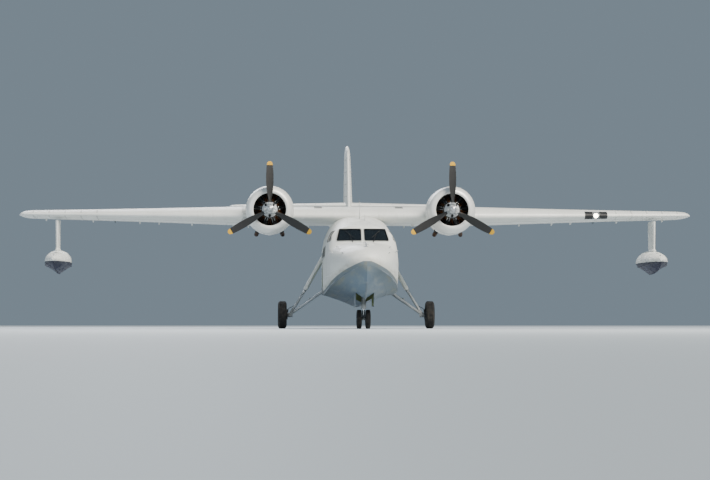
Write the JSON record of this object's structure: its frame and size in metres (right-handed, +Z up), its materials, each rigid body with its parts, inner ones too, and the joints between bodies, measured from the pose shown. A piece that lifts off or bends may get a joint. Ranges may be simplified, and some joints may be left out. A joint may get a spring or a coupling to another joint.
{
  "type": "twin-engined amphibious flying boat",
  "caption": "High-wing flying boat with radial engines, a stepped hull, wing floats, a single fin and wheels, parked on its wheels.",
  "frame": {"origin": "on the ground, under the middle of the aircraft's length and width", "axes": "+Z up, nose toward -Y, port wing toward +X"},
  "size_m": [24.38, 18.49, 7.39],
  "materials": {
    "white_paint": "satin",
    "hull_grey": "satin",
    "float_navy": "satin",
    "bright_metal": "polished",
    "engine_metal": "satin",
    "blade_black": "satin",
    "gear_steel": "satin",
    "tinted_glass": "gloss",
    "tyre_rubber": "matte",
    "seat_cloth": "matte"
  },
  "bodies": {
    "airframe": {"bow": "white_paint", "canopy": "white_paint", "roof": "white_paint", "tail_cone": "white_paint", "wing_center": "white_paint", "fin": "white_paint", "tailplane": "white_paint", "hull_bottom": "hull_grey", "aft_bulkhead": "hull_grey", "landing_light": "tinted_glass", "nose_leg": "gear_steel", "wall_left": "white_paint", "seat_left": "seat_cloth", "windshield_left": "tinted_glass", "side_window_left": "tinted_glass", "cabin_glazing_left": "tinted_glass", "wing_left": "white_paint", "nacelle_left": "white_paint", "cowl_left": "bright_metal", "engine_left": "engine_metal", "float_left": "float_navy", "float_pylon_left": "white_paint", "main_leg_left": "gear_steel", "nose_door_left": "white_paint", "wall_right": "white_paint", "seat_right": "seat_cloth", "windshield_right": "tinted_glass", "side_window_right": "tinted_glass", "cabin_glazing_right": "tinted_glass", "wing_right": "white_paint", "nacelle_right": "white_paint", "cowl_right": "bright_metal", "engine_right": "engine_metal", "float_right": "float_navy", "float_pylon_right": "white_paint", "main_leg_right": "gear_steel", "nose_door_right": "white_paint"},
    "rudder": {"rudder": "white_paint"},
    "cabin_door": {"cabin_door": "white_paint", "door_window": "tinted_glass"},
    "nose_steering": {"nose_fork": "gear_steel"},
    "flap_inner_left": {"flap_inner_left": "white_paint"},
    "flap_outer_left": {"flap_outer_left": "white_paint"},
    "aileron_left": {"aileron_left": "white_paint"},
    "elevator_left": {"elevator_left": "white_paint"},
    "propeller_left": {"propeller_left": "blade_black"},
    "main_wheel_left": {"main_rim_left": "gear_steel", "main_tyre_left": "tyre_rubber"},
    "nose_wheels": {"nose_rim_left": "gear_steel", "nose_tyre_left": "tyre_rubber", "nose_rim_right": "gear_steel", "nose_tyre_right": "tyre_rubber"},
    "flap_inner_right": {"flap_inner_right": "white_paint"},
    "flap_outer_right": {"flap_outer_right": "white_paint"},
    "aileron_right": {"aileron_right": "white_paint"},
    "elevator_right": {"elevator_right": "white_paint"},
    "propeller_right": {"propeller_right": "blade_black"},
    "main_wheel_right": {"main_rim_right": "gear_steel", "main_tyre_right": "tyre_rubber"}
  },
  "joints": [
    {"name": "propeller_left_spin", "type": "hinge", "parent": "airframe", "child": "propeller_left", "pos_m": [3.18, -5.115, 4.15], "axis": [0, -1, 0], "continuous": true},
    {"name": "main_wheel_left_spin", "type": "hinge", "parent": "airframe", "child": "main_wheel_left", "pos_m": [2.7, -0.895, 0.50372], "axis": [1, 0, 0], "continuous": true},
    {"name": "propeller_right_spin", "type": "hinge", "parent": "airframe", "child": "propeller_right", "pos_m": [-3.18, -5.115, 4.15], "axis": [0, -1, 0], "continuous": true},
    {"name": "main_wheel_right_spin", "type": "hinge", "parent": "airframe", "child": "main_wheel_right", "pos_m": [-2.7, -0.895, 0.50372], "axis": [1, 0, 0], "continuous": true},
    {"name": "nose_steer", "type": "hinge", "parent": "airframe", "child": "nose_steering", "pos_m": [0, -6.645, 0.9], "axis": [0, 0, 1], "range_deg": [-35, 35]},
    {"name": "nose_wheels_spin", "type": "hinge", "parent": "nose_steering", "child": "nose_wheels", "pos_m": [0, -6.645, 0.32594], "axis": [1, 0, 0], "continuous": true},
    {"name": "flap_inner_left_hinge", "type": "hinge", "parent": "airframe", "child": "flap_inner_left", "pos_m": [2.65, -0.495, 3.96], "axis": [-1, 0, 0], "range_deg": [0, 40]},
    {"name": "flap_outer_left_hinge", "type": "hinge", "parent": "airframe", "child": "flap_outer_left", "pos_m": [5.7, -0.495, 3.9888], "axis": [-0.9998, 0, -0.0175], "range_deg": [0, 40]},
    {"name": "aileron_left_hinge", "type": "hinge", "parent": "airframe", "child": "aileron_left", "pos_m": [9.5, -0.495, 4.05513], "axis": [0.9998, 0, 0.0175], "range_deg": [-20, 20]},
    {"name": "elevator_left_hinge", "type": "hinge", "parent": "airframe", "child": "elevator_left", "pos_m": [2.3, 7.255, 4.88], "axis": [1, 0, 0], "range_deg": [-20, 25]},
    {"name": "flap_inner_right_hinge", "type": "hinge", "parent": "airframe", "child": "flap_inner_right", "pos_m": [-2.65, -0.495, 3.96], "axis": [-1, 0, 0], "range_deg": [0, 40]},
    {"name": "flap_outer_right_hinge", "type": "hinge", "parent": "airframe", "child": "flap_outer_right", "pos_m": [-5.7, -0.495, 3.9888], "axis": [-0.9998, 0, 0.0175], "range_deg": [0, 40]},
    {"name": "aileron_right_hinge", "type": "hinge", "parent": "airframe", "child": "aileron_right", "pos_m": [-9.5, -0.495, 4.05513], "axis": [0.9998, 0, -0.0175], "range_deg": [-20, 20]},
    {"name": "elevator_right_hinge", "type": "hinge", "parent": "airframe", "child": "elevator_right", "pos_m": [-2.3, 7.255, 4.88], "axis": [1, 0, 0], "range_deg": [-20, 25]},
    {"name": "rudder_hinge", "type": "hinge", "parent": "airframe", "child": "rudder", "pos_m": [0, 7.755, 5.2], "axis": [0, 0, 1], "range_deg": [-25, 25]},
    {"name": "cabin_door_hinge", "type": "hinge", "parent": "airframe", "child": "cabin_door", "pos_m": [1.215, 1.055, 2.45], "axis": [0, 0, -1], "range_deg": [0, 100]}
  ],
  "couplings": [
    {"joint": "flap_outer_left_hinge", "follows": "flap_inner_left_hinge", "ratio": 1},
    {"joint": "flap_inner_right_hinge", "follows": "flap_inner_left_hinge", "ratio": 1},
    {"joint": "flap_outer_right_hinge", "follows": "flap_inner_left_hinge", "ratio": 1},
    {"joint": "aileron_right_hinge", "follows": "aileron_left_hinge", "ratio": -1},
    {"joint": "elevator_right_hinge", "follows": "elevator_left_hinge", "ratio": 1}
  ]
}
